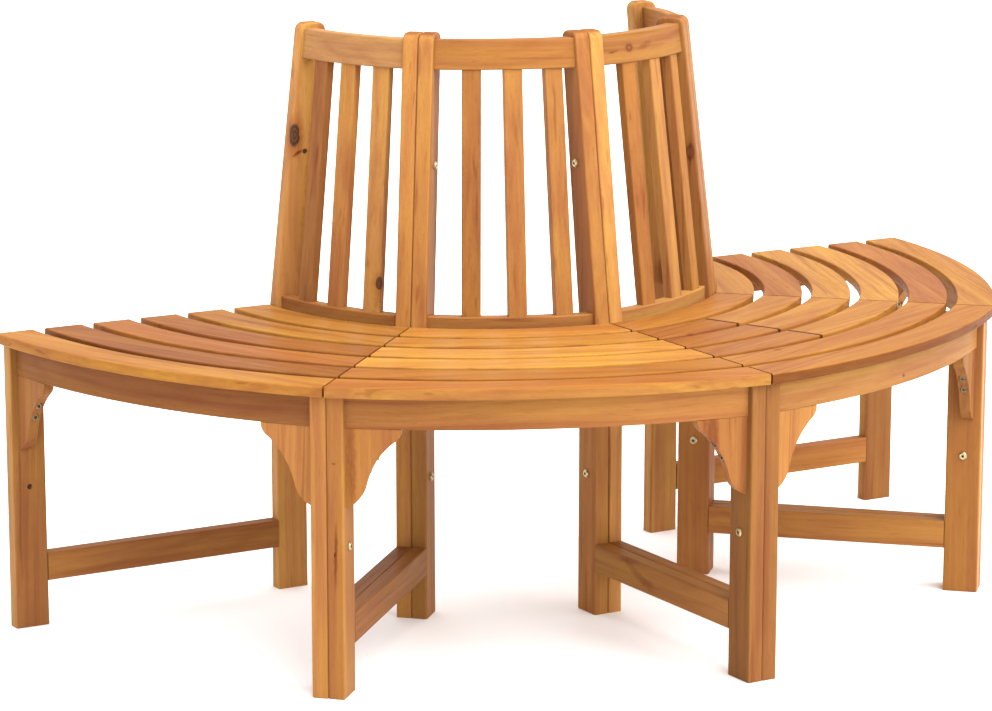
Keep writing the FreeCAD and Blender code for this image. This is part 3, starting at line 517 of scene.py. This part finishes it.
BACK_DEG = {"a": (12.6, 23.2, 34.1), "b": (13.65, 24.4, 35.25), "c": (13.9, 25.3, 36.4),
            "d": (12.2, 22.7, 33.6)}
BACK = {"a": (scaled(AMBER, 1.03), scaled(HONEY, 1.12), scaled(GOLD, 1.1)),
        "b": (scaled(ORANGE, 0.95), scaled(HONEY, 1.06), scaled(HONEY, 1.03)),
        "c": (scaled(ORANGE, 0.95), GOLD, HONEY), "d": (HONEY, AMBER, HONEY)}
# a red stripe in each bracket of module b
BRACKET_MARKS = {
    "b": (((0.345, 0.2240, 0.7407), (1, 0, 0), 0.075, 0.0110, "streak", 0.62),
          ((0.330, -0.2677, 0.7247), (1, 0, 0), 0.080, 0.0100, "streak", 0.50)),
}
BACK_MARKS = {"a": (((0.4945, 0.0825, 0.3406), (1, 0, 0), 0.0100, 0.0064, "knot", 0.92),
                    ((0.4700, 0.0800, 0.3420), (1, 0, 0), 0.0160, 0.0080, "streak", 0.40))}
APRON_MARKS = {"c": (((-0.0076, 0.7699, 0.3888), (1, 0, 0), 0.0024, 0.0021, "knot", 0.8),)}
RAIL_MARKS = {
    "c": (((-0.0479, 0.3181, 0.8278), (1, 0, 0), 0.0060, 0.0048, "ring", 0.95),
          ((-0.078, 0.3130, 0.8245), (1, 0, 0.1), 0.030, 0.0022, "streak", 0.75),
          ((-0.010, 0.3205, 0.8290), (1, 0, 0.25), 0.022, 0.0060, "streak", 0.45)),
}
for x in "abcd":
    mid = JOINT[MODULE[x]] + 22.5
    dress("back_slats_" + x, wood("back_slat_wood_" + x, mid, "z", HONEY, 11 + 2.7 * MODULE[x],
                                  tones=upright_tones(x, BACK_DEG[x], BACK[x]), flame=0.6,
                                  marks=BACK_MARKS.get(x, ())))
    dress("back_top_rail_" + x, wood("top_rail_wood_" + x, mid, "t",
                                     {"a": DUSKY, "b": scaled(ORANGE, 0.97), "c": scaled(HONEY, 0.9),
                                      "d": HONEY}[x],
                                     21 + 1.9 * MODULE[x], flame=1.3, marks=RAIL_MARKS.get(x, ()),
                                     red={"a": 0.0, "b": -0.1, "c": -0.1, "d": 0.0}[x], follow=0.7,
                                     streaks=0.7))
    dress("back_bottom_rail_" + x, wood("bottom_rail_wood_" + x, mid, "t",
                                        {"a": scaled(ORANGE, 0.95), "b": scaled(HONEY, 0.96),
                                         "c": scaled(GOLD, 0.95), "d": HONEY}[x],
                                        31 + 2.3 * MODULE[x], follow=0.7, streaks=0.7))
    dress("front_apron_" + x, wood("apron_wood_" + x, mid, "t",
                                   # apron a: the dark umber tone is partly the board's own tone and partly
                                   # painted shade
                                   {"a": scaled(UMBER, 0.96), "b": ORANGE, "c": scaled(GOLD, 0.9), "d": HONEY}[x],
                                   41 + 1.3 * MODULE[x], flame=1.1, marks=APRON_MARKS.get(x, ()), follow=0.8, streaks=0.6,
                                   # apron b: darker at its left end and lighter at its right, painted shade and
                                   # painted light
                                   tones=fading_painted_light(scaled(ORANGE, 0.82), scaled(HONEY, 1.08), 0.27)
                                   if x == "b" else None))
    dress("corner_brackets_" + x, wood("bracket_wood_" + x, mid, "z", HONEY, 51 + 3.7 * MODULE[x],
                                       tones=pair_tones({"a": (AMBER, scaled(HONEY, 1.06)),
                                                         "b": (scaled(ORANGE, 0.93), scaled(ORANGE, 0.92)),
                                                         "c": (scaled(HONEY, 1.05), AMBER),
                                                         "d": (HONEY, HONEY)}[x]),
                                       streaks=1.0, flame=0.5, marks=BRACKET_MARKS.get(x, ())))

# Front and side tones of the legs: partly the boards' own tones, partly painted shade on the sides, as on the
# dark side of right_b.
LEG = {"left_a": (scaled(GOLD, 0.85), scaled(AMBER, 0.92)), "right_a": (HONEY, ORANGE),
       "left_b": (scaled(ORANGE, 0.88), scaled(HONEY, 0.91)),
       "right_b": (scaled(AMBER, 0.92), scaled(AMBER, 0.72)), "left_c": (scaled(AMBER, 0.86), AMBER),
       "right_c": (scaled(GOLD, 1.12), scaled(ORANGE, 0.94)), "left_d": (HONEY, HONEY),
       "right_d": (HONEY, scaled(AMBER, 0.87))}
# Post tones are lighter than the legs' as painted light on the upper posts; a third entry holds the factors for
# the part under the seat, painted shade where under 1 and painted light where over 1.
POST = {"left_a": (scaled(GOLD, 1.2), scaled(GOLD, 1.14)), "right_a": (scaled(HONEY, 1.24), HONEY, (0.84, 1.0)),
        "left_b": (scaled(HONEY, 1.20), scaled(AMBER, 1.08), (0.63, 1.04)),
        "right_b": (scaled(HONEY, 1.06), scaled(ORANGE, 1.04)), "left_c": (scaled(GOLD, 1.17), HONEY),
        "right_c": (scaled(AMBER, 1.1), scaled(AMBER, 1.05), (1.0, 1.18)), "left_d": (HONEY, HONEY),
        "right_d": (GOLD, GOLD)}
STRETCH = {1: AMBER, 2: scaled(AMBER, 0.95), 3: scaled(HONEY, 0.9), 4: scaled(HONEY, 1.06), 5: ORANGE}
LEG_MARKS = {
    "left_b": (((0.3301, 0.0105, 0.788), (0, 1, 0), 0.0045, 0.0016, "streak", 0.85),
               ((0.2039, 0.0110, 0.788), (1, 0, 0), 0.0050, 0.0016, "streak", 0.90),
               ((0.2030, 0.0125, 0.788), (1, 0.02, 0), 0.056, 0.0030, "streak", 0.80)),
}
POST_MARKS = {
    "left_a": (((0.692, 0.0230, 0.3250), (1, 0, 0), 0.0180, 0.0088, "knot", 0.95),
               ((0.6650, 0.0234, 0.3200), (0.5, 0, -0.9), 0.0125, 0.0036, "streak", 1.0),
               ((0.6900, 0.0230, 0.3170), (1, 0, 0), 0.0700, 0.0060, "streak", 0.35),
               ((0.6600, 0.0234, 0.2970), (1, 0, -0.114), 0.2600, 0.0085, "streak", 0.42)),
    "right_c": (((0.6554, -0.0234, 0.3392), (1, 0, 0), 0.0100, 0.0052, "ring", 0.95),
                ((0.6480, -0.0234, 0.3392), (1, 0, 0), 0.0340, 0.0030, "streak", 0.55)),
}
STRETCH_MARKS = {
    "right_b": (((0.5090, 0.0870, -0.0234), (0.0717, -0.0271, 0), 0.048, 0.0085, "streak", 0.45),
                ((0.4800, 0.1040, -0.0220), (1, 0.1, 0), 0.034, 0.0060, "streak", 0.42),
                ((0.5350, 0.0830, -0.0234), (1, -0.2, 0), 0.022, 0.0045, "streak", 0.35)),
}
for x in "abcd":
    for word, k in (("left", MODULE[x]), ("right", MODULE[x] + 1)):
        key = word + "_" + x
        a = JOINT[k]
        side = (0.0, 0.0234) if word == "left" else (-0.0234, 0.0)
        seed = 60 + 7.3 * k + (2.9 if word == "left" else 0.0)
        dress("front_leg_" + key, wood("leg_wood_" + key, a, "z", HONEY, seed, flame=0.6, tones=sided(*LEG[key]),
                                       marks=LEG_MARKS.get(key, ()),
                                       faces={"r": (0.7362, 0.7882), "s": side}))
        dress("back_post_" + key, wood("post_wood_" + key, a, "z", HONEY, seed + 1.1, flame=0.6, tones=sided(*POST[key]),
                                       marks=POST_MARKS.get(key, ())))
        dress("stretcher_" + key, wood("stretcher_wood_" + key, a, "r", STRETCH[k], seed + 2.3,
                                       flame=1.2, marks=STRETCH_MARKS.get(key, ())))
        dress("bearer_" + key, wood("bearer_wood_" + key, a, "r", AMBER, seed + 3.7))
dress("centre_bearer_c", wood("centre_bearer_wood", 292.5, "r", AMBER, 90.0))


# ------------------------------------------------------------------- metal
def metal(name, base, rough, sockets=(), reach=0.0025):
    """sockets: centres of the key sockets' mouths, from the ring's centre; the colour near them is darkened to
    near black, painted shade inside the sockets.
    """
    m = bpy.data.materials.new(name)
    m.use_nodes = True
    m.node_tree.nodes.clear()
    t = Tree(m.node_tree)
    out = t.node("ShaderNodeOutputMaterial")
    sh = t.node("ShaderNodeBsdfPrincipled")
    tc = t.node("ShaderNodeTexCoord")
    p = tc.outputs["Object"]
    n1 = t.noise(p, 380.0, 3.0, 0.6)
    n2 = t.noise(p, 1900.0, 2.0, 0.5)
    c = t.mix(t.span(n1, 0.35, 0.7), base, scaled(base, 0.62))
    c = t.mix(t.math("MULTIPLY", t.span(n2, 0.55, 0.75), 0.35), c, (0.20, 0.12, 0.05, 1))
    near = None
    q = t.vmath("SUBTRACT", p, (0.0, RING_Y, 0.0))
    for centre in sockets:
        d = t.vmath("DISTANCE", q, centre)
        near = d if near is None else t.math("MINIMUM", near, d)
    if near is not None:
        # painted shade: near black within reach of each socket centre
        c = t.mix(t.span(near, reach, reach - 0.0003), c, (0.022, 0.014, 0.008, 1))
    t.link(c, sh.inputs["Base Color"])
    sh.inputs["Metallic"].default_value = 0.92
    t.link(t.span(n1, 0.3, 0.7, rough - 0.06, rough + 0.12), sh.inputs["Roughness"])
    b = t.node("ShaderNodeBump")
    b.inputs["Strength"].default_value = 0.25
    b.inputs["Distance"].default_value = 0.0002
    t.link(n2, b.inputs["Height"])
    t.link(b.outputs["Normal"], sh.inputs["Normal"])
    t.link(sh.outputs[0], out.inputs["Surface"])
    return m


def on_joint(k, r, s, z):
    u, w = unit(JOINT[k])
    return (u[0] * r + w[0] * s, u[1] * r + w[1] * s, z)


HEADS, TAILS = [], []
for k, side, top in ((2, 1, 0.32226), (3, -1, 0.32849), (4, -1, 0.32226)):
    for r, z in ((0.762, 0.2105), (INNER[k] - 0.025, 0.2105), (top, 0.667)):
        HEADS.append(on_joint(k, r, side * 0.0266, z))
        TAILS.append(on_joint(k, r, -side * 0.0266, z))
SCREWS = []
turn = math.radians(6.5)
for k, sides in ((1, (1,)), (2, (-1, 1)), (3, (-1, 1)), (4, (-1, 1)), (5, (-1,))):
    for side in sides:
        for q, z in ((0.0450, 0.3385), (0.0345, 0.3200)):
            SCREWS.append(on_joint(k, 0.7765 - 0.008 * math.cos(turn) - q * math.sin(turn),
                                   side * (0.0234 - 0.008 * math.sin(turn) + q * math.cos(turn)), z))
dress("joint_bolts", metal("yellow_zinc", lin(190, 174, 132), 0.30, HEADS))
dress("joint_nuts", metal("yellow_zinc_nuts", lin(190, 174, 132), 0.30, TAILS, 0.0041))
# the bracket screws take a darker copy of the zinc, painted shade of their place under the seat
dress("bracket_screws", metal("shaded_zinc", lin(128, 108, 78), 0.28, SCREWS))


# ------------------------------------------------------------------- stage
def plain(name, colour, rough=0.9):
    m = bpy.data.materials.new(name)
    m.use_nodes = True
    sh = m.node_tree.nodes["Principled BSDF"]
    sh.inputs["Base Color"].default_value = colour
    sh.inputs["Roughness"].default_value = rough
    return m


me = bpy.data.meshes.new("floor")
me.from_pydata([(-40, -40, 0), (40, -40, 0), (40, 40, 0), (-40, 40, 0)], [], [(0, 1, 2, 3)])
floor = bpy.data.objects.new("floor", me)
me.materials.append(plain("pale_floor", (0.92, 0.92, 0.92, 1)))
scene.collection.objects.link(floor)

scene.view_settings.view_transform = "Standard"
world = bpy.data.worlds.new("studio")
world.use_nodes = True
wt = Tree(world.node_tree)
bg = world.node_tree.nodes["Background"]
_, _, up = wt.separate(wt.node("ShaderNodeTexCoord").outputs["Generated"])
wt.link(wt.span(up, 0.0, 0.9, 0.95, 2.00, smooth=True), bg.inputs["Strength"])
bg.inputs["Color"].default_value = (1.0, 1.0, 1.0, 1)
scene.world = world


def sun(name, towards, strength, angle, colour=(1, 1, 1)):
    """A broad soft light; towards is the direction that it comes from."""
    li = bpy.data.lights.new(name, "SUN")
    li.energy = strength
    li.angle = math.radians(angle)
    li.color = colour
    o = bpy.data.objects.new(name, li)
    x, y, z = towards
    o.rotation_euler = (math.atan2(math.hypot(x, y), z), 0, math.atan2(y, x) + math.pi / 2)
    scene.collection.objects.link(o)
    return o


sun("key", (0.30, -0.55, 0.78), 1.45 * math.pi, 70)
